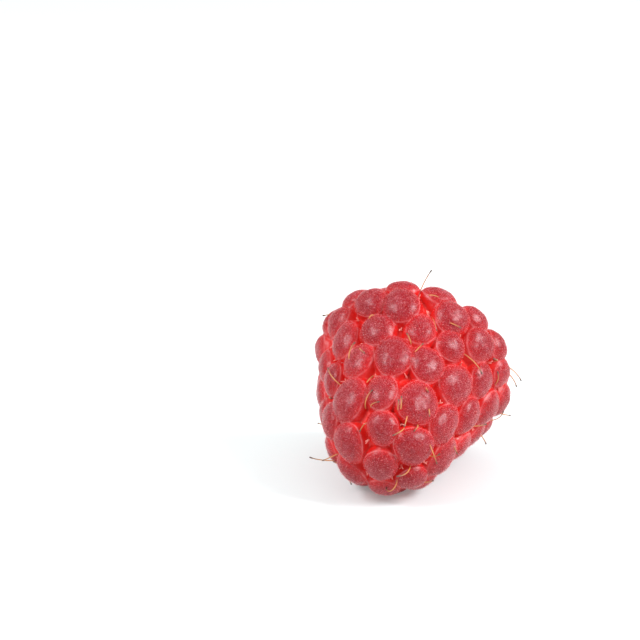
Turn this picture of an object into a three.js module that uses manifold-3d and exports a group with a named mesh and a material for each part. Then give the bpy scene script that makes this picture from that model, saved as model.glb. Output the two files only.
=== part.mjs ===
// A picked raspberry: one cup of drupelets grown together, hollow where it came off its core.
// It lies on its side with its tip towards -Y and the mouth of its hollow towards +Y, resting on
// its lowest drupelets, which its weight has pressed flat. Millimetres, +Z up, and the origin on
// the surface it lies on, under the middle of the fruit.

import * as THREE from 'three';
import { mergeVertices } from 'three/addons/utils/BufferGeometryUtils.js';
import Module from 'manifold-3d';

// The fruit's outer form, measured over the tops of the drupelets.
const FRUIT_LENGTH = 20.05;
const TIP_RADIUS = 7.4;
const RIM_RADIUS = 11.1;
const RIM_ROUNDING = 2.85;

// The hollow that the core left: a blunt cone, open at the rim.
const MOUTH_RADIUS = RIM_RADIUS - 2 * RIM_ROUNDING;
const HOLLOW_END_RADIUS = 2.4;
const HOLLOW_FLOOR = 5.4;

// Rows of drupelets from the tip to the rim and over its lip. A row's station is its distance
// from the tip along the outline, and its turn is the angle of its first drupelet, in degrees.
const ROWS = [
  { station: 1.1, count: 1, turn: 51, width: 3.3, length: 3.7, seed: 677 },
  { station: 4.8, count: 6, turn: 1, width: 3.3, length: 3.4, seed: 7395 },
  { station: 9.4, count: 10, turn: 34, width: 3.55, length: 3.85, seed: 6603 },
  { station: 13.5, count: 12, turn: 27, width: 3.3, length: 3.4, seed: 1807 },
  { station: 17.4, count: 13, turn: 14, width: 3.3, length: 3.4, seed: 193 },
  { station: 21.6, count: 14, turn: 2, width: 3.3, length: 3.4, seed: 6384 },
  { station: 24.6, count: 14, turn: 22, width: 3.55, length: 3.9, seed: 204 },
  { station: 28.6, count: 12, turn: 9, width: 3.8, length: 4.65, seed: 3948 },
];

// How unevenly the rows grow: in turn (share of the spacing), station, size (share) and rise.
const TURN_SPREAD = 0.24;
const STATION_SPREAD = 0.75;
const SIZE_SPREAD = 0.12;
const STRETCH_SPREAD = 0.072;
const RISE_SPREAD = 0.15;

// Crowded neighbours are eased apart over the surface, in a few rounds, as growth does. Then all
// neighbours push a little, over small gaps too, which evens out their spacing, and the ones on
// the rim hold their stations.
const GROWTH = { rounds: 20, push: 0.35, room: 1, heldFrom: Infinity };
const SETTLING = { rounds: 10, push: 0.1, room: 1.3, heldFrom: 26.5 };

// Then each one swells to the room left by its nearest neighbours, within these shares.
const NEAREST_NEIGHBOURS = 5;
const LEAST_SWELL = 0.9;
const MOST_SWELL = 1.25;

// A drupelet is an egg-shaped bead sunk a little past its middle in the cup. The cup follows the
// outline over the rim as far as the lip, in degrees, and drops into the mouth.
const BEAD_DEPTH = 1.75;
const BEAD_SWELL = 1.12;
const BEAD_DETAIL = 1;
const CUP_DEPTH = 1.5;
const CUP_SIDES = 24;
const LIP_TURN = 150;
const MOUTH_DROP = 1;

// Where the tip is when the fruit lies on its side. Its lowest drupelets dip a little below the
// surface there, and are pressed flat by it.
const LIE_AT = [0.11, -10.96, 4.7];
const TABLE_SIZE = 60;

const wasm = await Module();
wasm.setup();

// ---- the outline of the fruit, from the tip over the rim and into the mouth ----

const rimCentreRadius = RIM_RADIUS - RIM_ROUNDING;
const rimCentreHeight = FRUIT_LENGTH - RIM_ROUNDING;
const centresApart = Math.hypot(rimCentreHeight - TIP_RADIUS, rimCentreRadius);
const coneHalfAngle = Math.atan2(rimCentreRadius, rimCentreHeight - TIP_RADIUS)
  - Math.asin((TIP_RADIUS - RIM_ROUNDING) / centresApart);
const tipArc = TIP_RADIUS * (Math.PI / 2 - coneHalfAngle);
const sideLength = Math.sqrt(centresApart ** 2 - (TIP_RADIUS - RIM_ROUNDING) ** 2);
const rimStart = tipArc + sideLength;

// The place on the outline at a station, and its outward normal: an arc round the tip, a
// straight side and an arc round the rim, all of it sunk by a depth.
function outline(station, depth = 0) {
  const onSide = THREE.MathUtils.clamp(station - tipArc, 0, sideLength);
  const onRim = Math.max(station - rimStart, 0);
  const lean = Math.min(station, tipArc) / TIP_RADIUS + onRim / RIM_ROUNDING;
  const normalHeight = -Math.cos(lean);
  const normalRadius = Math.sin(lean);
  const round = (onRim > 0 ? RIM_ROUNDING : TIP_RADIUS) - depth;
  const centreHeight = onRim > 0 ? rimCentreHeight : TIP_RADIUS + onSide * Math.cos(coneHalfAngle);
  const centreRadius = onRim > 0 ? rimCentreRadius : onSide * Math.sin(coneHalfAngle);
  return {
    height: centreHeight + round * normalHeight,
    radius: centreRadius + round * normalRadius,
    normalHeight,
    normalRadius,
  };
}

// ---- where the drupelets sit: the fruit's axis is +Y here, from the tip to the rim ----

// Even draws from -1 to 1, the same on every run.
function drawer(seed) {
  let state = seed;
  const draw = () => {
    state = (state * 16807) % 2147483647;
    return 2 * state / 2147483647 - 1;
  };
  for (let unused = 0; unused < 3; unused += 1) draw();
  return draw;
}

// One row of drupelets, evenly spread round the fruit and then disturbed a little.
function sowRow(row) {
  const draw = drawer(row.seed);
  return Array.from({ length: row.count }, (_, i) => {
    const turn = row.turn + 360 * (i + TURN_SPREAD * draw()) / row.count;
    const station = row.station + STATION_SPREAD * draw();
    const size = 1 + SIZE_SPREAD * draw();
    const stretch = 1 + STRETCH_SPREAD * draw();
    return {
      angle: THREE.MathUtils.degToRad(turn),
      station,
      width: row.width * size,
      length: row.length * size * stretch,
      rise: RISE_SPREAD * draw(),
    };
  });
}

// Where a drupelet stands, and the directions round, along and out of the fruit there.
function stand(bead) {
  const { height, radius, normalHeight, normalRadius } = outline(bead.station);
  const sin = Math.sin(bead.angle);
  const cos = Math.cos(bead.angle);
  return {
    radius,
    point: new THREE.Vector3(radius * sin, height, radius * cos),
    round: new THREE.Vector3(cos, 0, -sin),
    along: new THREE.Vector3(-normalHeight * sin, normalRadius, -normalHeight * cos),
    out: new THREE.Vector3(normalRadius * sin, normalHeight, normalRadius * cos),
  };
}

// How far a drupelet reaches in a direction, between half its width and half its length.
function reach(bead, place, direction) {
  const share = Math.abs(direction.dot(place.round));
  return (bead.width * share + bead.length * (1 - share)) / 2;
}

// Which way one drupelet lies from another, how far, and how far apart they would just touch.
function between(beads, places, i, j) {
  const apart = places[i].point.clone().sub(places[j].point);
  const distance = apart.length();
  apart.divideScalar(distance);
  const wanted = reach(beads[i], places[i], apart) + reach(beads[j], places[j], apart);
  return { apart, distance, wanted };
}

// One round of growth: every pair that lies closer than its room slides apart over the surface.
function easeApart(beads, { push, room, heldFrom }) {
  const places = beads.map(stand);
  return beads.map((bead, i) => {
    const slide = new THREE.Vector3();
    beads.forEach((other, j) => {
      if (i === j) return;
      const { apart, distance, wanted } = between(beads, places, i, j);
      slide.addScaledVector(apart, push * Math.max(room * wanted - distance, 0));
    });
    const onward = bead.station > heldFrom ? 0 : slide.dot(places[i].along);
    return {
      ...bead,
      station: Math.max(bead.station + onward, 0.3),
      angle: bead.angle + slide.dot(places[i].round) / Math.max(places[i].radius, 1),
    };
  });
}

// Each drupelet then swells or stays small to fill the room that its nearest neighbours leave.
function swell(beads) {
  const places = beads.map(stand);
  return beads.map((bead, i) => {
    const rooms = beads.flatMap((other, j) => {
      if (i === j) return [];
      const { distance, wanted } = between(beads, places, i, j);
      return [distance / wanted];
    });
    rooms.sort((a, b) => a - b);
    const nearest = rooms.slice(0, NEAREST_NEIGHBOURS);
    const room = nearest.reduce((sum, share) => sum + share) / NEAREST_NEIGHBOURS;
    const growth = THREE.MathUtils.clamp(room, LEAST_SWELL, MOST_SWELL);
    return { ...bead, width: bead.width * growth, length: bead.length * growth };
  });
}

function growDrupelets() {
  let beads = ROWS.flatMap(sowRow);
  [GROWTH, SETTLING].forEach((stage) => {
    for (let round = 0; round < stage.rounds; round += 1) beads = easeApart(beads, stage);
  });
  return swell(beads);
}

// ---- solids ----

function toSolid(geometry) {
  geometry.deleteAttribute('normal');
  geometry.deleteAttribute('uv');
  const merged = mergeVertices(geometry, 1e-4);
  return new wasm.Manifold(new wasm.Mesh({
    numProp: 3,
    vertProperties: merged.attributes.position.array,
    triVerts: new Uint32Array(merged.index.array),
  }));
}

function toMesh(solid, name, material) {
  const { vertProperties, triVerts } = solid.getMesh();
  const geometry = new THREE.BufferGeometry();
  geometry.setAttribute('position', new THREE.BufferAttribute(vertProperties, 3));
  geometry.setIndex(new THREE.BufferAttribute(triVerts, 1));
  geometry.computeVertexNormals();
  const mesh = new THREE.Mesh(geometry, material);
  mesh.name = name;
  return mesh;
}

// The cup that the drupelets stand on: the sunk outline as far as the lip, and then the hollow.
function cup() {
  const lip = rimStart + RIM_ROUNDING * THREE.MathUtils.degToRad(LIP_TURN);
  const stations = [
    ...[0.25, 0.5, 0.75, 1].map((share) => share * tipArc),
    ...[0, 0.33, 0.67, 1].map((share) => THREE.MathUtils.lerp(rimStart, lip, share)),
  ];
  const outside = stations.map((station) => outline(station, CUP_DEPTH));
  const hollowCentre = HOLLOW_FLOOR + HOLLOW_END_RADIUS;
  const inside = [80, 40].map(THREE.MathUtils.degToRad).map((lean) => ({
    radius: HOLLOW_END_RADIUS * Math.sin(lean),
    height: hollowCentre - HOLLOW_END_RADIUS * Math.cos(lean),
  }));
  const profile = [
    new THREE.Vector2(0, CUP_DEPTH),
    ...outside.map(({ radius, height }) => new THREE.Vector2(radius, height)),
    new THREE.Vector2(MOUTH_RADIUS, rimCentreHeight - MOUTH_DROP),
    ...inside.map(({ radius, height }) => new THREE.Vector2(radius, height)),
    new THREE.Vector2(0, HOLLOW_FLOOR),
  ];
  return toSolid(new THREE.LatheGeometry(profile, CUP_SIDES));
}

// An egg-shaped bead, standing with its middle sunk in the cup.
function drupelet(bead) {
  const place = stand(bead);
  const geometry = new THREE.IcosahedronGeometry(1, BEAD_DETAIL);
  const halfWidth = BEAD_SWELL * bead.width / 2;
  const halfLength = BEAD_SWELL * bead.length / 2;
  geometry.scale(halfWidth, BEAD_DEPTH, halfLength);
  const back = place.along.clone().negate();
  geometry.applyMatrix4(new THREE.Matrix4().makeBasis(place.round, place.out, back));
  const centre = place.point.clone().addScaledVector(place.out, bead.rise - BEAD_DEPTH);
  geometry.translate(centre.x, centre.y, centre.z);
  return toSolid(geometry);
}

// The fruit lies on its side: its axis is tipped up until its cone rests on the surface.
function layDown(solid) {
  const place = new THREE.Matrix4().makeRotationX(coneHalfAngle).setPosition(...LIE_AT);
  return solid.transform(place.elements);
}

function pressFlat(solid) {
  const table = new THREE.BoxGeometry(TABLE_SIZE, TABLE_SIZE, TABLE_SIZE);
  table.translate(0, 0, -TABLE_SIZE / 2);
  return solid.subtract(toSolid(table));
}

const beads = growDrupelets();
const fruit = pressFlat(layDown(wasm.Manifold.union([cup(), ...beads.map(drupelet)])));

const flesh = new THREE.MeshStandardMaterial({ name: 'flesh', color: 0xa8283a, roughness: 0.55 });
const group = new THREE.Group();
group.add(toMesh(fruit, 'berry', flesh));

export default group;
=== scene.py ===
import math

import bpy
import numpy as np
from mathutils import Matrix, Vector


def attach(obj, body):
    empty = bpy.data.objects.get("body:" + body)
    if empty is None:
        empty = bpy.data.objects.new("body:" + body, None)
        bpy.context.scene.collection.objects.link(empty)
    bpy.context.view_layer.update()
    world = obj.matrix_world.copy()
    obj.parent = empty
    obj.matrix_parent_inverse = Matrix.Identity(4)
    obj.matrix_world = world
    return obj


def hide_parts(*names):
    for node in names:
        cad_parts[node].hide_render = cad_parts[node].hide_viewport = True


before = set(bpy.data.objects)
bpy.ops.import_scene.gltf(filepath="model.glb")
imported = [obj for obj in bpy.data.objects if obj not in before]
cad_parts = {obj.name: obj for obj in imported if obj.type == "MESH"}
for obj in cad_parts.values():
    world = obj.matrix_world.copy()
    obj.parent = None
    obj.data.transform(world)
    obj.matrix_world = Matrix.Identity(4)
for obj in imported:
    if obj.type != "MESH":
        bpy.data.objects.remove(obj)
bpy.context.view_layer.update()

MM = 0.001


# ---- The table, the light and the camera ----
# A pale matt table, glowing a little from below, under two soft boxes, one on each side of the
# camera, in a white room. The camera looks down on the fruit from in front of its tip and a
# little to the right.

TABLE_SIZE = 3.0
ROOM_WHITE = (1.0, 1.0, 1.0, 1.0)
TABLE_FINISH = {
    "Base Color": (0.63, 0.67, 0.66, 1.0),
    "Emission Color": ROOM_WHITE,
    "Emission Strength": 0.18,
    "Roughness": 0.6,
    "Specular IOR Level": 0.2,
}
ROOM_STRENGTH = 0.79
SOFTBOX_TINT = (0.94, 0.96, 1.0)
SOFTBOX_DISTANCE = 0.42
SOFTBOX_SIZE = 0.16
SOFTBOXES = [
    ("softbox_left", -57.0, 47.0, 1.30),
    ("softbox_right", 84.0, 40.0, 2.10),
]
CAMERA_AZIMUTH = 13.4
CAMERA_ELEVATION = 21.0
CAMERA_DISTANCE = 250.0 * MM
CAMERA_TARGET = (0.13 * MM, 5.57 * MM, 8.24 * MM)
CAMERA_CLIP_START = 0.01
SENSOR_WIDTH = 36.0
FRAME_PIXELS = 640
PIXELS_PER_MM = 9.15
TARGET_PIXEL_X = 413.4
TARGET_PIXEL_Y = 385.2


def direction(azimuth, elevation):
    a, e = math.radians(azimuth), math.radians(elevation)
    return Vector((math.sin(a) * math.cos(e), -math.cos(a) * math.cos(e), math.sin(e)))


def look_from(item, place, target):
    """Stand a camera or a light at a place and turn it to look at the target."""
    item.location = place
    item.rotation_euler = (Vector(target) - place).to_track_quat("-Z", "Y").to_euler()


def add_camera():
    """A long lens; its shift puts the fruit where the frame has it."""
    camera = bpy.data.cameras.new("camera")
    camera.sensor_width = SENSOR_WIDTH
    field = FRAME_PIXELS / PIXELS_PER_MM * MM
    camera.lens = SENSOR_WIDTH * CAMERA_DISTANCE / field
    camera.shift_x = (FRAME_PIXELS / 2 - TARGET_PIXEL_X) / FRAME_PIXELS
    camera.shift_y = (TARGET_PIXEL_Y - FRAME_PIXELS / 2) / FRAME_PIXELS
    camera.clip_start = CAMERA_CLIP_START
    holder = bpy.data.objects.new("camera", camera)
    bpy.context.collection.objects.link(holder)
    place = Vector(CAMERA_TARGET) + direction(CAMERA_AZIMUTH, CAMERA_ELEVATION) * CAMERA_DISTANCE
    look_from(holder, place, CAMERA_TARGET)
    bpy.context.scene.camera = holder


def add_softbox(name, azimuth, elevation, power):
    """A square lamp at an azimuth and elevation, turned to face the fruit."""
    lamp = bpy.data.lights.new(name, "AREA")
    lamp.shape = "SQUARE"
    lamp.size = SOFTBOX_SIZE
    lamp.energy = power
    lamp.color = SOFTBOX_TINT
    holder = bpy.data.objects.new(name, lamp)
    bpy.context.collection.objects.link(holder)
    look_from(holder, direction(azimuth, elevation) * SOFTBOX_DISTANCE, CAMERA_TARGET)


def new_material(name, finish):
    """A material whose shader has a finish: a value for each socket that is named. Returns the
    material with its nodes, its links and its shader."""
    material = bpy.data.materials.new(name)
    material.use_nodes = True
    tree = material.node_tree
    shader = tree.nodes["Principled BSDF"]
    for socket, value in finish.items():
        shader.inputs[socket].default_value = value
    return material, tree.nodes, tree.links, shader


def add_table():
    """One square face at z = 0."""
    half = TABLE_SIZE / 2
    mesh = bpy.data.meshes.new("table")
    corners = [(-half, -half, 0.0), (half, -half, 0.0), (half, half, 0.0), (-half, half, 0.0)]
    mesh.from_pydata(corners, [], [(0, 1, 2, 3)])
    white, _, _, _ = new_material("table_white", TABLE_FINISH)
    mesh.materials.append(white)
    table = bpy.data.objects.new("table", mesh)
    bpy.context.collection.objects.link(table)


def light_room():
    """A plain white room, whose light comes evenly from all round."""
    room = bpy.data.worlds.new("room")
    room.use_nodes = True
    background = room.node_tree.nodes["Background"]
    background.inputs["Color"].default_value = ROOM_WHITE
    background.inputs["Strength"].default_value = ROOM_STRENGTH
    bpy.context.scene.world = room
    bpy.context.scene.view_settings.view_transform = "Standard"


add_camera()
add_table()
light_room()
for softbox in SOFTBOXES:
    add_softbox(*softbox)


# ---- The fruit ----
# One cup of drupelets grown together, hollow where it came off its core: juicy red beads with a
# thin skin, pressed against each other. It grew by the same rule as its solid. Its sizes and
# those of its hairs are in millimetres.

FRUIT_LENGTH = 20.05
TIP_RADIUS = 7.4
RIM_RADIUS = 11.1
RIM_ROUNDING = 2.85
HOLLOW_END_RADIUS = 2.4
HOLLOW_FLOOR = 5.4
ROWS = [
    # station, count, turn, width, length, seed
    (1.1, 1, 51, 3.3, 3.7, 677),
    (4.8, 6, 1, 3.3, 3.4, 7395),
    (9.4, 10, 34, 3.55, 3.85, 6603),
    (13.5, 12, 27, 3.3, 3.4, 1807),
    (17.4, 13, 14, 3.3, 3.4, 193),
    (21.6, 14, 2, 3.3, 3.4, 6384),
    (24.6, 14, 22, 3.55, 3.9, 204),
    (28.6, 12, 9, 3.8, 4.65, 3948),
]
TURN_SPREAD = 0.24
STATION_SPREAD = 0.75
SIZE_SPREAD = 0.12
STRETCH_SPREAD = 0.072
RISE_SPREAD = 0.15
# rounds, push, room, station that the rim holds from
GROWTH = (20, 0.35, 1.0, math.inf)
SETTLING = (10, 0.1, 1.3, 26.5)
LEAST_STATION = 0.3
LEAST_TURNING_RADIUS = 1.0
NEAREST_NEIGHBOURS = 5
LEAST_SWELL = 0.9
MOST_SWELL = 1.25
FAR_OFF = 1000.0
DRAW_FACTOR = 16807
DRAW_MODULUS = 2147483647
DRAWS_SKIPPED = 3
LIE_AT = (0.11, -10.96, 4.7)
BEAD_DEPTH = 2.0
BEAD_SWELL = 1.2
CUP_DEPTH = 1.5

rim_centre_radius = RIM_RADIUS - RIM_ROUNDING
rim_centre_height = FRUIT_LENGTH - RIM_ROUNDING
centres_apart = math.hypot(rim_centre_height - TIP_RADIUS, rim_centre_radius)
cone_half_angle = math.atan2(rim_centre_radius, rim_centre_height - TIP_RADIUS) - math.asin(
    (TIP_RADIUS - RIM_ROUNDING) / centres_apart
)
tip_arc = TIP_RADIUS * (math.pi / 2 - cone_half_angle)
side_length = math.sqrt(centres_apart**2 - (TIP_RADIUS - RIM_ROUNDING) ** 2)
rim_start = tip_arc + side_length
hollow_centre = HOLLOW_FLOOR + HOLLOW_END_RADIUS
hollow_apart = math.hypot(rim_centre_height - hollow_centre, rim_centre_radius)
hollow_taper = math.atan2(rim_centre_radius, rim_centre_height - hollow_centre) - math.asin(
    (RIM_ROUNDING + HOLLOW_END_RADIUS) / hollow_apart
)
rim_arc = RIM_ROUNDING * (math.pi + cone_half_angle - hollow_taper)
wall_start = rim_start + rim_arc
wall_length = math.sqrt(hollow_apart**2 - (RIM_ROUNDING + HOLLOW_END_RADIUS) ** 2)
end_start = wall_start + wall_length
end_arc = HOLLOW_END_RADIUS * (math.pi / 2 - hollow_taper)
outline_length = end_start + end_arc


def outline(station):
    """Height, radius and outward normal at stations along the outline: an arc round the tip, a
    straight side, an arc round the rim, the straight wall of the hollow, and an arc at its end."""
    on_side = np.clip(station - tip_arc, 0, side_length)
    on_rim = np.clip(station - rim_start, 0, rim_arc)
    on_wall = np.clip(station - wall_start, 0, wall_length)
    on_end = np.clip(station - end_start, 0, end_arc)
    lean = np.minimum(station, tip_arc) / TIP_RADIUS + on_rim / RIM_ROUNDING
    lean = lean - on_end / HOLLOW_END_RADIUS
    normal_height, normal_radius = -np.cos(lean), np.sin(lean)
    tip = station <= rim_start
    end = station > end_start
    round_ = np.where(tip, TIP_RADIUS, np.where(end, -HOLLOW_END_RADIUS, RIM_ROUNDING))
    centre_height = np.where(
        tip,
        TIP_RADIUS + on_side * math.cos(cone_half_angle),
        np.where(end, hollow_centre, rim_centre_height - on_wall * math.cos(hollow_taper)),
    )
    centre_radius = np.where(
        tip,
        on_side * math.sin(cone_half_angle),
        np.where(end, 0.0, rim_centre_radius - on_wall * math.sin(hollow_taper)),
    )
    height = centre_height + round_ * normal_height
    radius = centre_radius + round_ * normal_radius
    return height, radius, normal_height, normal_radius


def stand(station, angle):
    """Where a place on the outline is, and the directions round, along and out of the fruit."""
    height, radius, normal_height, normal_radius = outline(station)
    sin, cos = np.sin(angle), np.cos(angle)
    point = np.stack([radius * sin, height, radius * cos], 1)
    around = np.stack([cos, 0 * cos, -sin], 1)
    along = np.stack([-normal_height * sin, normal_radius, -normal_height * cos], 1)
    out = np.stack([normal_radius * sin, normal_height, normal_radius * cos], 1)
    return point, around, along, out, radius


def drawer(seed):
    """Even draws from -1 to 1, the same on every run. Each state is the one before it, times a
    factor, modulo a prime; the first few are passed over."""
    state = seed
    drawn = 0
    while True:
        state = (state * DRAW_FACTOR) % DRAW_MODULUS
        drawn += 1
        if drawn > DRAWS_SKIPPED:
            yield 2 * state / DRAW_MODULUS - 1


def sow_rows():
    """The drupelets row by row, evenly spread round the fruit and then disturbed a little."""
    beads = []
    for station, count, turn, width, length, seed in ROWS:
        draw = drawer(seed)
        for i in range(count):
            angle = math.radians(turn + 360 * (i + TURN_SPREAD * next(draw)) / count)
            place = station + STATION_SPREAD * next(draw)
            size = 1 + SIZE_SPREAD * next(draw)
            stretch = 1 + STRETCH_SPREAD * next(draw)
            rise = RISE_SPREAD * next(draw)
            beads.append((place, angle, width * size, length * size * stretch, rise))
    return np.array(beads).T


def between(station, angle, width, length):
    """Which way every drupelet lies from every other, how far, and how far apart they would
    just touch: a drupelet reaches half its width round the fruit and half its length along it."""
    point, around, _, _, _ = stand(station, angle)
    apart = point[:, None] - point[None]
    distance = np.linalg.norm(apart, axis=2) + np.eye(len(station)) * FAR_OFF
    apart = apart / distance[..., None]
    share = np.abs(np.einsum("ijk,ik->ij", apart, around))
    reach = (width[:, None] * share + length[:, None] * (1 - share)) / 2
    return apart, distance, reach + reach.T


def ease_apart(station, angle, width, length, push, room, held_from):
    """One round of growth: every pair closer than its room slides apart over the surface."""
    _, around, along, _, radius = stand(station, angle)
    apart, distance, wanted = between(station, angle, width, length)
    slide = (apart * (push * np.maximum(room * wanted - distance, 0))[..., None]).sum(1)
    onward = np.where(station > held_from, 0, (slide * along).sum(1))
    station = np.maximum(station + onward, LEAST_STATION)
    angle = angle + (slide * around).sum(1) / np.maximum(radius, LEAST_TURNING_RADIUS)
    return station, angle


def grow():
    """The rows are sown, eased apart, evened out, and swell to fill the room that is left."""
    station, angle, width, length, rise = sow_rows()
    for rounds, *stage in (GROWTH, SETTLING):
        for _ in range(rounds):
            station, angle = ease_apart(station, angle, width, length, *stage)
    _, distance, wanted = between(station, angle, width, length)
    room = np.sort(distance / wanted, axis=1)[:, :NEAREST_NEIGHBOURS].mean(1)
    growth = np.clip(room, LEAST_SWELL, MOST_SWELL)
    return station, angle, width * growth, length * growth, rise


bead_station, bead_angle, bead_width, bead_length, bead_rise = grow()
bead_count = len(bead_station)
bead_point, bead_around, bead_along, bead_out, _ = stand(bead_station, bead_angle)

SKIN_CELLS = 127
SKIN_STATIONS = 4000
WELD_DECIMALS = 6
HOLLOW_COARSENESS = 0.35
BEAD_FULLNESS = 2.3
BEAD_REACH_SQUARED = 20.0
BEAD_FACING = 0.15
CREASE_SOFTNESS = 0.03
# painted shade: a darker red line along the bottom of each crease, where two domes meet, fading
# out over this much crease depth in millimetres
CREASE_SHADE_DEPTH = 0.16
BEAD_UNEVENNESS = (0.05, 0.03)
BEAD_TILT = 0.07
HOLLOW_BEGINS, HOLLOW_BLEND = 0.88, 0.2
RIDGE_COUNT = 13
RIDGE_DEPTH = 0.22
RIDGE_SWAY, RIDGE_SWAY_RATE = 0.5, 0.9
# ripples: height, spacing, seed
RIDGE_WANDER = (0.6, 4.0, 3)
WALL_RIPPLE = (0.06, 1.3, 4)
SKIN_RIPPLE = (0.022, 1.1, 5)
RIPPLE_WAVES = 14
RIPPLE_SPREAD = (0.7, 1.3)
CLEAR = 9.0
SEED = 7
rng = np.random.default_rng(SEED)
bead_skew = rng.uniform(0, 2 * math.pi, (bead_count, 2))
bead_tilt = rng.normal(0, BEAD_TILT, (bead_count, 2))
bead_tone = rng.uniform(0, 1, bead_count)


def ripple(points, height, spacing, seed):
    """Smooth uneven noise of about a height: sine waves in random directions, summed, and
    divided by the root of their number."""
    draw = np.random.default_rng(seed)
    heading = draw.normal(size=(RIPPLE_WAVES, 3))
    heading *= 2 * math.pi / spacing / np.linalg.norm(heading, axis=1, keepdims=True)
    heading *= draw.uniform(*RIPPLE_SPREAD, (RIPPLE_WAVES, 1))
    waves = np.sin(points @ heading.T + draw.uniform(0, 2 * math.pi, RIPPLE_WAVES))
    return height * (waves.sum(1) / math.sqrt(RIPPLE_WAVES))


def bead_relief(point, out):
    """How deep under the outline the drupelets lie: each is a full round dome, depth
    D (1 - (1 - r^p)^(1/p)) at share r of its radius. Returns the nearest dome's depth, the
    next one's, and which drupelet the nearest is."""
    near = np.full(len(point), CLEAR)
    next_near = np.full(len(point), CLEAR)
    owner = np.zeros(len(point), int)
    for k in range(bead_count):
        offset = point - bead_point[k]
        beside = np.einsum("ij,ij->i", offset, offset) < BEAD_REACH_SQUARED
        beside &= out @ bead_out[k] > BEAD_FACING
        offset = offset[beside]
        x = offset @ bead_around[k] / (BEAD_SWELL * bead_width[k] / 2)
        y = offset @ bead_along[k] / (BEAD_SWELL * bead_length[k] / 2)
        heading = np.arctan2(y, x)
        uneven = BEAD_UNEVENNESS[0] * np.cos(2 * heading + bead_skew[k, 0])
        uneven += BEAD_UNEVENNESS[1] * np.cos(3 * heading + bead_skew[k, 1])
        share = np.minimum(np.hypot(x, y) * (1 + uneven), 1)
        dome = (1 - share**BEAD_FULLNESS) ** (1 / BEAD_FULLNESS)
        depth = BEAD_DEPTH * (1 - dome) - bead_rise[k] + bead_tilt[k, 0] * x + bead_tilt[k, 1] * y
        depth = np.where(share < 1, depth, CLEAR)
        best, second = near[beside], next_near[beside]
        closer = depth < best
        next_near[beside] = np.where(closer, best, np.minimum(second, depth))
        near[beside] = np.where(closer, depth, best)
        owner[beside] = np.where(closer, k, owner[beside])
    return near, next_near, owner


def smooth_step(value):
    """Rise from 0 to 1 with level ends: v^2 (3 - 2v)."""
    value = np.clip(value, 0, 1)
    return value**2 * (3 - 2 * value)


def skin_at(station, angle):
    """The skin at stations and angles: the drupelets' domes over the sunk cup, their creases
    rounded, and in the hollow a wall of low ridges. Returns its places in the fruit's frame,
    and what the material reads there."""
    point, _, _, out, _ = stand(station, angle)
    near, next_near, owner = bead_relief(point, out)
    inside = smooth_step(((station - rim_start) / rim_arc - HOLLOW_BEGINS) / HOLLOW_BLEND)
    bend = RIDGE_SWAY * np.sin(station * RIDGE_SWAY_RATE) + ripple(point, *RIDGE_WANDER)
    ridge = 0.5 + 0.5 * np.sin(RIDGE_COUNT * angle + bend)
    wall = RIDGE_DEPTH * ridge + ripple(point, *WALL_RIPPLE)
    floor = CUP_DEPTH * (1 - inside) + wall * inside
    shallow = np.minimum(near, floor)
    crease = np.minimum(np.maximum(near, floor), next_near) - shallow
    depth = shallow - CREASE_SOFTNESS * np.log1p(np.exp(-crease / CREASE_SOFTNESS))
    depth = depth + ripple(point, *SKIN_RIPPLE)
    look = {
        # how deep the skin lies; the material paints a brighter red glow lower down, and frost on
        # the tops
        "sunk": np.clip(depth / CUP_DEPTH, 0, 1),
        # painted shade: where the material darkens the bottom of each crease
        "line": 1 - smooth_step(crease / CREASE_SHADE_DEPTH),
        "tone": bead_tone[owner] * (near < floor),
        "inside": inside,
    }
    return point - out * depth[:, None], look


def fruit_to_world(point):
    """Tip the fruit up about its tip until its cone lies on the table, and set it down there."""
    sin, cos = math.sin(cone_half_angle), math.cos(cone_half_angle)
    y = point[:, 1] * cos - point[:, 2] * sin
    z = point[:, 1] * sin + point[:, 2] * cos
    world = np.stack([point[:, 0], y, z], 1) + np.array(LIE_AT)
    return world * MM


def above_table(points):
    """What would reach under the table is pressed flat on it."""
    return np.maximum(points, (-math.inf, -math.inf, 0))


def cube_sphere(cells):
    """Six square grids of a cube swelled to a unit sphere, their shared edges welded. The grid
    lines are spaced by the tangent of an even angle, so that the cells come out alike."""
    line = np.tan(np.linspace(-1, 1, cells + 1) * math.pi / 4)
    a, b = np.meshgrid(line, line, indexing="ij")
    one = np.ones_like(a)
    sides = [(one, a, b), (-one, b, a), (b, one, a), (a, -one, b), (a, b, one), (b, a, -one)]
    points = np.concatenate([np.stack(side, -1).reshape(-1, 3) for side in sides])
    points /= np.linalg.norm(points, axis=1, keepdims=True)
    welding = np.round(points, WELD_DECIMALS)
    _, first, welded = np.unique(welding, axis=0, return_index=True, return_inverse=True)
    corner = np.arange((cells + 1) ** 2).reshape(cells + 1, cells + 1)
    quads = np.stack([corner[:-1, :-1], corner[1:, :-1], corner[1:, 1:], corner[:-1, 1:]], -1)
    quads = quads.reshape(-1, 4)
    quads = np.concatenate([quads + k * (cells + 1) ** 2 for k in range(6)])
    return points[first], welded.reshape(-1)[quads]


def skin_stations(sphere):
    """Spread a sphere's points over the outline so that the cells' areas stay even, except in
    the hollow, where they are larger: a point's height on the sphere is its share of the area
    up to its station. Returns each point's station and angle."""
    station = np.linspace(0, outline_length, SKIN_STATIONS)
    weight = np.where(station > wall_start, HOLLOW_COARSENESS, 1.0)
    ring = np.maximum(outline(station)[1], 0) * weight
    share = np.concatenate([[0], np.cumsum((ring[1:] + ring[:-1]) / 2)])
    share /= share[-1]
    angle = np.arctan2(sphere[:, 0], sphere[:, 2])
    return np.interp((1 + sphere[:, 1]) / 2, share, station), angle


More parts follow.
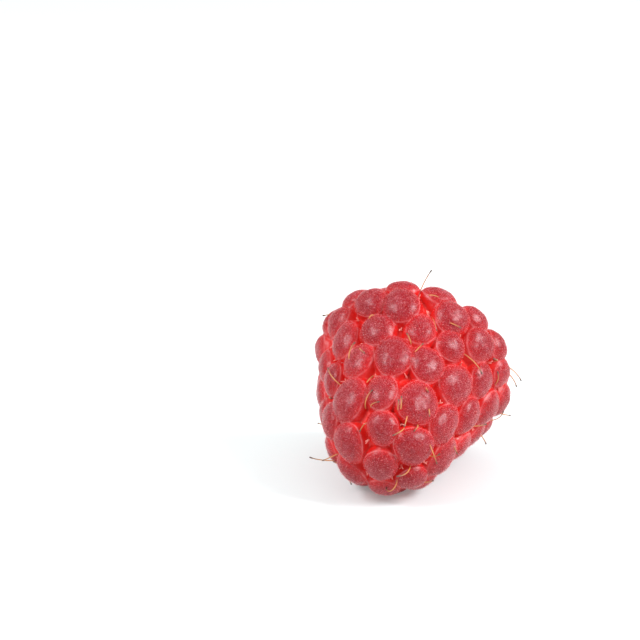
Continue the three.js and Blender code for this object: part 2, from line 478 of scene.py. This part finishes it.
def add_piece(name, points, faces, looks, material):
    """A mesh on the fruit's body, with the values that its material reads, one for a point."""
    mesh = bpy.data.meshes.new(name)
    mesh.from_pydata(points, [], faces)
    mesh.shade_smooth()
    for look, values in looks.items():
        layer = mesh.attributes.new(look, "FLOAT", "POINT")
        layer.data.foreach_set("value", values.astype(np.float32))
    mesh.materials.append(material)
    piece = bpy.data.objects.new(name, mesh)
    bpy.context.collection.objects.link(piece)
    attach(piece, "root")
    return piece


MOTTLE_DETAIL = 1.5
MOTTLE_FULL = 0.72


def mottle_group():
    """A node group for uneven patches: 3-D noise, stretched so that it goes from 0 at a threshold
    to 1 where the noise is full. It takes a place in metres and the patches to a metre."""
    group = bpy.data.node_groups.new("mottle", "ShaderNodeTree")
    group.interface.new_socket("Place", in_out="INPUT", socket_type="NodeSocketVector")
    group.interface.new_socket("Patches per metre", in_out="INPUT", socket_type="NodeSocketFloat")
    group.interface.new_socket("Threshold", in_out="INPUT", socket_type="NodeSocketFloat")
    group.interface.new_socket("Amount", in_out="OUTPUT", socket_type="NodeSocketFloat")
    nodes, links = group.nodes, group.links
    given = nodes.new("NodeGroupInput")
    noise = nodes.new("ShaderNodeTexNoise")
    noise.inputs["Detail"].default_value = MOTTLE_DETAIL
    spread = nodes.new("ShaderNodeMapRange")
    spread.inputs["From Max"].default_value = MOTTLE_FULL
    result = nodes.new("NodeGroupOutput")
    links.new(given.outputs["Place"], noise.inputs["Vector"])
    links.new(given.outputs["Patches per metre"], noise.inputs["Scale"])
    links.new(noise.outputs["Fac"], spread.inputs["Value"])
    links.new(given.outputs["Threshold"], spread.inputs["From Min"])
    links.new(spread.outputs["Result"], result.inputs["Amount"])
    return group


mottle = mottle_group()


def place_mottle(nodes, links, patch_mm, threshold):
    """The mottle group in a material, with its patch size in millimetres, on Object coordinates.
    Returns its output socket."""
    where = nodes.new("ShaderNodeTexCoord")
    patches = nodes.new("ShaderNodeGroup")
    patches.node_tree = mottle
    links.new(where.outputs["Object"], patches.inputs["Place"])
    patches.inputs["Patches per metre"].default_value = 1 / (patch_mm * MM)
    patches.inputs["Threshold"].default_value = threshold
    return patches.outputs["Amount"]


def read_look(nodes, name):
    """The socket of a value that the mesh carries point by point."""
    node = nodes.new("ShaderNodeAttribute")
    node.attribute_name = name
    return node.outputs["Fac"]


def colour_ramp(nodes, links, value, stops):
    """A colour ramp over a value, from its stops: (place, colour)."""
    node = nodes.new("ShaderNodeValToRGB")
    ramp = node.color_ramp
    while len(ramp.elements) < len(stops):
        ramp.elements.new(0.5)
    for element, (place, colour) in zip(ramp.elements, stops):
        element.position = place
        element.color = (*colour, 1)
    links.new(value, node.inputs["Fac"])
    return node.outputs["Color"]


def mix_colour(nodes, links, share, first, second):
    """Mix two colours by a share: the share is a socket, and each colour a socket or a value."""
    node = nodes.new("ShaderNodeMix")
    node.data_type = "RGBA"
    for socket, given in (("Factor_Float", share), ("A_Color", first), ("B_Color", second)):
        inlet = next(i for i in node.inputs if i.identifier == socket)
        if isinstance(given, bpy.types.NodeSocket):
            links.new(given, inlet)
        else:
            inlet.default_value = (*given, 1)
    return next(o for o in node.outputs if o.identifier == "Result_Color")


def times(nodes, links, first, second):
    """Multiply two values: each is a socket or a number."""
    node = nodes.new("ShaderNodeMath")
    node.operation = "MULTIPLY"
    for inlet, given in zip(node.inputs, (first, second)):
        if isinstance(given, bpy.types.NodeSocket):
            links.new(given, inlet)
        else:
            inlet.default_value = given
    return node.outputs["Value"]


WHITE, BLACK = (1, 1, 1), (0, 0, 0)
# painted shade: the darker red laid along the bottom of each crease
CREASE_SHADE_RED = (0.46, 0.005, 0.004)
HOLLOW_RED = (0.38, 0.008, 0.012)
SHADE_RED = (0.19, 0.001, 0.004)
BLOOM_MAUVE = (0.50, 0.22, 0.28)
# the pink of the pale specks, also used for the painted sheen ring round the domes' shoulders
SPECK_AND_SHEEN_PINK = (0.80, 0.30, 0.31)
# the reds of a dome's top, its flank and the crease beside it, by how deep they lie: the skin's
# own crimson, brightening lower down into a painted glow of light shining through the flesh and
# between the drupelets
DEPTH_REDS_AND_PAINTED_GLOW = [
    (0.08, (0.28, 0.003, 0.007)),
    (0.44, (0.50, 0.006, 0.006)),
    (0.82, (0.67, 0.018, 0.014)),
]
RAISED = [(0.15, WHITE), (0.65, BLACK)]
# the band of depth on a dome's shoulder that carries a painted sheen: a pale rim like the one the
# down draws where it is seen edge-on
PAINTED_SHEEN_BAND = [(0.40, BLACK), (0.47, WHITE), (0.54, BLACK)]
# how strongly the painted crease shade darkens the colour
CREASE_SHADE_STRENGTH = 0.6
TONE_STRENGTH = 0.3
# mottles: patch size in millimetres, threshold, strength
BLOOM = (0.55, 0.30, 0.11)
GRAINS = (0.16, 0.45, 1.0)
SPECKS = (0.12, 0.60, 0.55)
# painted sheen: a pale, broken ring round each dome's shoulder
PAINTED_SHEEN_RING = (0.9, 0.25, 0.42)
PORE_MOTTLE = (0.09, 0.25)
PORE_STRENGTH = 0.35
PORE_HEIGHT = 0.03
SKIN_FINISH = {
    "Roughness": 0.26,
    "Specular IOR Level": 0.24,
    "Subsurface Weight": 0.55,
    "Subsurface Radius": (1.0, 0.12, 0.08),
    "Subsurface Scale": 0.7 * MM,
    "Sheen Weight": 1.0,
    "Sheen Roughness": 0.08,
    "Sheen Tint": (1.0, 0.64, 0.65, 1),
}


def masked_mottle(nodes, links, mask, patch_mm, threshold, strength):
    """A mottle that shows only where a mask does: their product, times a strength."""
    mottled = place_mottle(nodes, links, patch_mm, threshold)
    return times(nodes, links, times(nodes, links, mottled, mask), strength)


def skin_material():
    """Crimson skin, darkest on the domes; the clear bright red down the flanks and in the creases
    is partly the skin's own red and partly a painted glow of light through the flesh, and a darker
    red at the bottom of each crease is painted shade. Mauve bloom, dark grains and pale specks lie
    on the domes, and a broken pale line round their shoulders is a painted sheen."""
    flesh, nodes, links, shader = new_material("raspberry_skin", SKIN_FINISH)
    sunk = read_look(nodes, "sunk")
    # brighter red lower down: partly the skin's own red, partly painted glow of light through the
    # flesh
    red = colour_ramp(nodes, links, sunk, DEPTH_REDS_AND_PAINTED_GLOW)
    # painted shade: a darker red along the bottom of each crease
    line = times(nodes, links, read_look(nodes, "line"), CREASE_SHADE_STRENGTH)
    red = mix_colour(nodes, links, line, red, CREASE_SHADE_RED)
    tone = times(nodes, links, read_look(nodes, "tone"), TONE_STRENGTH)
    red = mix_colour(nodes, links, tone, red, SHADE_RED)
    raised = colour_ramp(nodes, links, sunk, RAISED)
    # painted sheen: the pale ring round each dome's shoulder
    sheen_band = colour_ramp(nodes, links, sunk, PAINTED_SHEEN_BAND)
    for mask, mottled, colour in (
        (raised, BLOOM, BLOOM_MAUVE),
        (raised, GRAINS, SHADE_RED),
        (raised, SPECKS, SPECK_AND_SHEEN_PINK),
        (sheen_band, PAINTED_SHEEN_RING, SPECK_AND_SHEEN_PINK),
    ):
        share = masked_mottle(nodes, links, mask, *mottled)
        red = mix_colour(nodes, links, share, red, colour)
    red = mix_colour(nodes, links, read_look(nodes, "inside"), red, HOLLOW_RED)
    links.new(red, shader.inputs["Base Color"])
    pores = nodes.new("ShaderNodeBump")
    pores.inputs["Strength"].default_value = PORE_STRENGTH
    pores.inputs["Distance"].default_value = PORE_HEIGHT * MM
    links.new(place_mottle(nodes, links, *PORE_MOTTLE), pores.inputs["Height"])
    links.new(pores.outputs["Normal"], shader.inputs["Normal"])
    return flesh


skin_sphere, skin_quads = cube_sphere(SKIN_CELLS)
skin_station, skin_angle = skin_stations(skin_sphere)
skin_place, skin_look = skin_at(skin_station, skin_angle)
skin_points = above_table(fruit_to_world(skin_place))
skin = add_piece("raspberry", skin_points, skin_quads, skin_look, skin_material())
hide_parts("berry")


# ---- The styles ----
# Every drupelet has carried a style, the thread that its pollen came down. Some stay on, dried
# golden and hooked, with a darker knob for a tip; most spring from the creases.

STYLE_SIDES = 6
STYLE_STEPS = 15
STYLE_RADIUS = 0.062
STYLE_TAPER = 0.15
STYLE_KNOB = 0.045
KNOB_AT, KNOB_REACH = 0.96, 0.05
STYLE_ROOT_DEPTH = 0.15
HOOK_POWER = 1.5
STYLE_FINISH = {
    "Roughness": 0.45,
    "Subsurface Weight": 0.3,
    "Subsurface Radius": (1.0, 0.5, 0.2),
    "Subsurface Scale": 0.1 * MM,
}
STYLE_COLOURS = [
    (0.0, (0.54, 0.18, 0.07)),
    (0.40, (0.56, 0.24, 0.07)),
    (0.75, (0.38, 0.16, 0.055)),
    (0.95, (0.10, 0.045, 0.03)),
]
# station along the outline, turn round the fruit, length, heading in the surface (0 is round the
# fruit, 90 towards the rim), how steeply it stands up, how far it hooks over; angles in degrees
FRONT_STYLES = [
    (13.8, -34, 2.2, 45, 45, 60),
    (15.4, -28, 2.0, -50, 35, 60),
    (7.6, 22, 1.6, 110, 35, 30),
    (14.4, 16, 1.6, 62, 30, 20),
    (19.8, 20, 2.0, -60, 30, 45),
    (19.4, 30, 1.5, -5, 25, 25),
    (22.8, -50, 2.4, 180, 45, 20),
    (7.4, -112, 2.9, 40, 60, 20),
    (6.8, -116, 1.0, 40, 50, 20),
    (6.4, -130, 1.2, 180, 45, 30),
    (2.8, -148, 1.5, 140, 45, 15),
    (2.8, 132, 2.6, -10, 80, 170),
    (17.6, 122, 1.3, 0, 75, 20),
    (21.0, 116, 1.4, 90, 60, 20),
    (6.2, 132, 1.5, 150, 30, 20),
    (22.0, 88, 1.8, -10, 40, 30),
    (22.4, 84, 2.2, -25, 50, 30),
    (6.4, -16, 1.7, 12, 25, 25),
    (21.6, -88, 1.3, 190, 50, 60),
    (10.0, -84, 0.8, 90, 70, 10),
    (11.4, 34, 1.0, -60, 45, 20),
    (9.4, 44, 1.2, -70, 30, 20),
    (9.8, 88, 1.8, 0, 30, 20),
    (7.4, 30, 1.5, -85, 35, 30),
    (18.4, -20, 1.6, 45, 60, 330),
    (6.6, 66, 2.4, -20, 25, 15),
]
# which of a style's values are angles
ANGLES = [1, 3, 4, 5]
SCATTERED_STYLES = 34
SCATTERED_TRIES = 12
SCATTERED_STATIONS = (3.0, wall_start - 4.0)
SCATTERED_CREASE, SCATTERED_OUTSIDE = 0.5, 0.1
SCATTERED_LENGTH = (1.4, 3.2)
SCATTERED_SLOPE = (35, 80)
SCATTERED_HOOK = (30, 130)


def tubes(line, side, radius, sides):
    """Closed tubes along lines. At every step of a line a ring of points stands square to it,
    measured from the side direction that all of a line's tangents are square to, and a point
    at each end closes the tube. Lines are (tubes, steps, 3) arrays, radii (tubes, steps)."""
    count, steps, _ = line.shape
    tangent = np.gradient(line, axis=1)
    tangent /= np.linalg.norm(tangent, axis=2, keepdims=True)
    across = np.cross(tangent, side[:, None])
    across /= np.linalg.norm(across, axis=2, keepdims=True)
    turn = np.linspace(0, 2 * math.pi, sides, endpoint=False)[:, None]
    ring = side[:, None, None] * np.cos(turn) + across[:, :, None] * np.sin(turn)
    rings = line[:, :, None] + ring * radius[:, :, None, None]
    points = np.concatenate([rings.reshape(count, -1, 3), line[:, :1], line[:, -1:]], 1)
    here = np.arange(steps * sides).reshape(steps, sides)
    beside = np.roll(here, -1, 1)
    quads = np.stack([here[:-1], beside[:-1], beside[1:], here[1:]], -1).reshape(-1, 4)
    foot = np.stack([beside[0], here[0], np.full(sides, steps * sides)], -1)
    top = np.stack([here[-1], beside[-1], np.full(sides, steps * sides + 1)], -1)
    offset = np.arange(count)[:, None, None] * (steps * sides + 2)
    quads = (quads + offset).reshape(-1, 4)
    caps = (np.concatenate([foot, top]) + offset).reshape(-1, 3)
    return points.reshape(-1, 3), quads.tolist() + caps.tolist()


def style_lines(station, angle, length, heading, slope, hook):
    """Lines that leave the skin at a heading and a slope and hook over by an angle: at share t
    of the length the slope has turned by t^1.5 of the hook, and the steps add up. Returns the
    lines and their sides."""
    _, around, along, out, _ = stand(station, angle)
    root, _ = skin_at(station, angle)
    flat = around * np.cos(heading)[:, None] + along * np.sin(heading)[:, None]
    t = np.linspace(0, 1, STYLE_STEPS)
    bend = slope[:, None] - hook[:, None] * t**HOOK_POWER
    step = flat[:, None] * np.cos(bend)[..., None] + out[:, None] * np.sin(bend)[..., None]
    step *= (length[:, None] / (STYLE_STEPS - 1))[..., None]
    line = np.cumsum(step, 1) - step[:, :1]
    line += (root - out * STYLE_ROOT_DEPTH)[:, None]
    return line, np.cross(out, flat)


def style_material():
    """Dry golden brown, reddish at the root and nearly black at the tip."""
    dried, nodes, links, shader = new_material("dried_style", STYLE_FINISH)
    golden = colour_ramp(nodes, links, read_look(nodes, "along"), STYLE_COLOURS)
    links.new(golden, shader.inputs["Base Color"])
    return dried


def scattered_styles():
    """Styles of random build, rooted in the creases between the drupelets."""
    station = rng.uniform(*SCATTERED_STATIONS, SCATTERED_STYLES * SCATTERED_TRIES)
    angle = rng.uniform(0, 2 * math.pi, len(station))
    _, look = skin_at(station, angle)
    creased = (look["sunk"] > SCATTERED_CREASE) & (look["inside"] < SCATTERED_OUTSIDE)
    creased = np.flatnonzero(creased)[:SCATTERED_STYLES]
    count = len(creased)
    return np.stack(
        [
            station[creased],
            angle[creased],
            rng.uniform(*SCATTERED_LENGTH, count),
            rng.uniform(0, 2 * math.pi, count),
            np.radians(rng.uniform(*SCATTERED_SLOPE, count)),
            np.radians(rng.uniform(*SCATTERED_HOOK, count)),
        ]
    )


front = np.array(FRONT_STYLES, float).T
front[ANGLES] = np.radians(front[ANGLES])
style_line, style_side = style_lines(*np.concatenate([front, scattered_styles()], 1))
style_along = np.linspace(0, 1, STYLE_STEPS)
style_radius = STYLE_RADIUS * (1 - STYLE_TAPER * style_along)
style_radius += STYLE_KNOB * np.exp(-(((style_along - KNOB_AT) / KNOB_REACH) ** 2))
style_radius = np.tile(style_radius, (len(style_line), 1))
style_points, style_faces = tubes(style_line, style_side, style_radius, STYLE_SIDES)
style_points = above_table(fruit_to_world(style_points))
one_style = np.concatenate([np.repeat(style_along, STYLE_SIDES), [0, 1]])
style_look = {"along": np.tile(one_style, len(style_line))}
add_piece("styles", style_points, style_faces, style_look, style_material())


# ---- The tufts ----
# Where three drupelets meet, the longest hairs mat together into small pale tufts that stand in
# the pit between them. A tuft is a few thick, curling hairs.

TUFT_COUNT = 60
TUFT_HAIRS = 3
TUFT_SPACING = 1.5
TUFT_PIT, TUFT_OUTSIDE = 0.62, 0.05
TUFT_CANDIDATES = 6000
TUFT_SPREAD = 0.04
TUFT_ROOT_DEPTH = 0.05
TUFT_LEAN = 0.25
TUFT_CURL = 0.5
TUFT_LENGTH = (0.45, 0.95)
TUFT_RADIUS = 0.07
TUFT_TAPER = 0.4
TUFT_SIDES = 5
TUFT_STEPS = 6
TUFT_PINKS = ((0.80, 0.20, 0.17), (0.90, 0.38, 0.33))
TUFT_MOTTLE = (1.2, 0.25)
TUFT_FINISH = {"Roughness": 0.5}


def tuft_roots():
    """Skin points deep in the pits, each at least a spacing from those taken before it."""
    deep = (skin_look["sunk"] > TUFT_PIT) & (skin_look["inside"] < TUFT_OUTSIDE)
    deep = rng.permutation(np.flatnonzero(deep))[:TUFT_CANDIDATES]
    deep = deep[np.argsort(-skin_look["sunk"][deep], kind="stable")]
    taken = []
    for candidate in deep:
        apart = np.linalg.norm(skin_place[taken] - skin_place[candidate], axis=1)
        if not taken or apart.min() > TUFT_SPACING:
            taken.append(candidate)
        if len(taken) == TUFT_COUNT:
            break
    return np.array(taken)


def tuft_lines():
    """Hairs from each pit, rising and curling any way. A hair sets out in one drawn direction a
    and turns evenly to another, b: at share t of its length L it is at L (a (t - t^2 / 2) +
    b t^2 / 2) from its root. Returns the lines and their sides."""
    roots = np.repeat(tuft_roots(), TUFT_HAIRS)
    count = len(roots)
    _, _, _, out, _ = stand(skin_station[roots], skin_angle[roots])
    start = skin_place[roots] + rng.normal(0, TUFT_SPREAD, (count, 3)) - out * TUFT_ROOT_DEPTH
    first = out + TUFT_LEAN * rng.normal(size=(count, 3))
    last = out * (1 - TUFT_CURL) + TUFT_CURL * rng.normal(size=(count, 3))
    first /= np.linalg.norm(first, axis=1, keepdims=True)
    last /= np.linalg.norm(last, axis=1, keepdims=True)
    t = np.linspace(0, 1, TUFT_STEPS)[None, :, None]
    length = rng.uniform(*TUFT_LENGTH, (count, 1, 1))
    rise = first[:, None] * (t - t**2 / 2) + last[:, None] * t**2 / 2
    line = start[:, None] + length * rise
    side = np.cross(first, last)
    return line, side / np.linalg.norm(side, axis=1, keepdims=True)


def hair_material(name, finish, patches, pinks):
    """Pale hair in two pinks, one passing into the other in patches."""
    pale, nodes, links, shader = new_material(name, finish)
    tint = place_mottle(nodes, links, *patches)
    links.new(mix_colour(nodes, links, tint, *pinks), shader.inputs["Base Color"])
    return pale


tuft_pink = hair_material("pale_tuft", TUFT_FINISH, TUFT_MOTTLE, TUFT_PINKS)
tuft_line, tuft_side = tuft_lines()
tuft_radius = TUFT_RADIUS * (1 - TUFT_TAPER * np.linspace(0, 1, TUFT_STEPS) ** 2)
tuft_radius = np.tile(tuft_radius, (len(tuft_line), 1))
tuft_points, tuft_faces = tubes(tuft_line, tuft_side, tuft_radius, TUFT_SIDES)
tuft_points = above_table(fruit_to_world(tuft_points))
add_piece("tufts", tuft_points, tuft_faces, {}, tuft_pink)


# ---- The down ----
# A fine down stands all over the drupelets and thins out towards the creases: pale hairs, about a
# tenth of a millimetre long, which frost the skin and draw a light line round every dome. Each is
# a slim three-sided spike with its foot in the skin.

DOWN_PIECES = 2
DOWN_COUNT = 49000
DOWN_LENGTH = (0.06, 0.15)
DOWN_WIDTH = 0.020
DOWN_CORNERS = [0, 120, 240]
DOWN_LEAN = 0.25
DOWN_THINS_OUT = (0.30, 0.68)
DOWN_OUTSIDE = 0.5
DOWN_LOWEST = 0.3
DOWN_SPREAD = 0.06
DOWN_ROOT_DEPTH = 0.02
DOWN_PINKS = ((0.82, 0.19, 0.20), (0.90, 0.32, 0.34))
DOWN_MOTTLE = (0.8, 0.25)
DOWN_FINISH = {"Roughness": 0.6}


def skin_normals(points, quads):
    """The skin's outward directions: the crossed diagonals of its cells, summed at each point."""
    a, b, c, d = points[quads].transpose(1, 0, 2)
    cell = np.cross(c - a, d - b)
    normal = np.zeros_like(points)
    for corner in range(4):
        np.add.at(normal, quads[:, corner], cell)
    return normal / np.linalg.norm(normal, axis=1, keepdims=True)


def down_spikes():
    """Spikes near random points of the skin, leaning a little from its outward direction: a
    small triangle for a foot and a tip above it."""
    raised = skin_look["sunk"] < rng.uniform(*DOWN_THINS_OUT, len(skin_points))
    raised &= skin_look["inside"] < DOWN_OUTSIDE
    raised &= skin_points[:, 2] > DOWN_LOWEST * MM
    root = rng.choice(np.flatnonzero(raised), DOWN_COUNT)
    normal = skin_normals(skin_points, skin_quads)[root]
    lean = normal + DOWN_LEAN * rng.normal(size=normal.shape)
    lean /= np.linalg.norm(lean, axis=1, keepdims=True)
    side = np.cross(lean, rng.normal(size=lean.shape))
    side /= np.linalg.norm(side, axis=1, keepdims=True)
    other = np.cross(lean, side)
    place = skin_points[root] + rng.uniform(-DOWN_SPREAD, DOWN_SPREAD, lean.shape) * MM
    place -= normal * DOWN_ROOT_DEPTH * MM
    turn = np.radians(DOWN_CORNERS)[:, None, None]
    foot = place + (side * np.cos(turn) + other * np.sin(turn)) * DOWN_WIDTH / 2 * MM
    tip = place + lean * (rng.uniform(*DOWN_LENGTH, DOWN_COUNT) * MM)[:, None]
    points = np.concatenate([foot, tip[None]]).transpose(1, 0, 2).reshape(-1, 3)
    faces = np.array([(0, 2, 1), (0, 1, 3), (1, 2, 3), (2, 0, 3)])
    faces = (faces + 4 * np.arange(DOWN_COUNT)[:, None, None]).reshape(-1, 3)
    return above_table(points), faces


down_pink = hair_material("pale_down", DOWN_FINISH, DOWN_MOTTLE, DOWN_PINKS)
for share in range(DOWN_PIECES):
    down_points, down_faces = down_spikes()
    add_piece(f"down_{share}", down_points, down_faces, {}, down_pink)
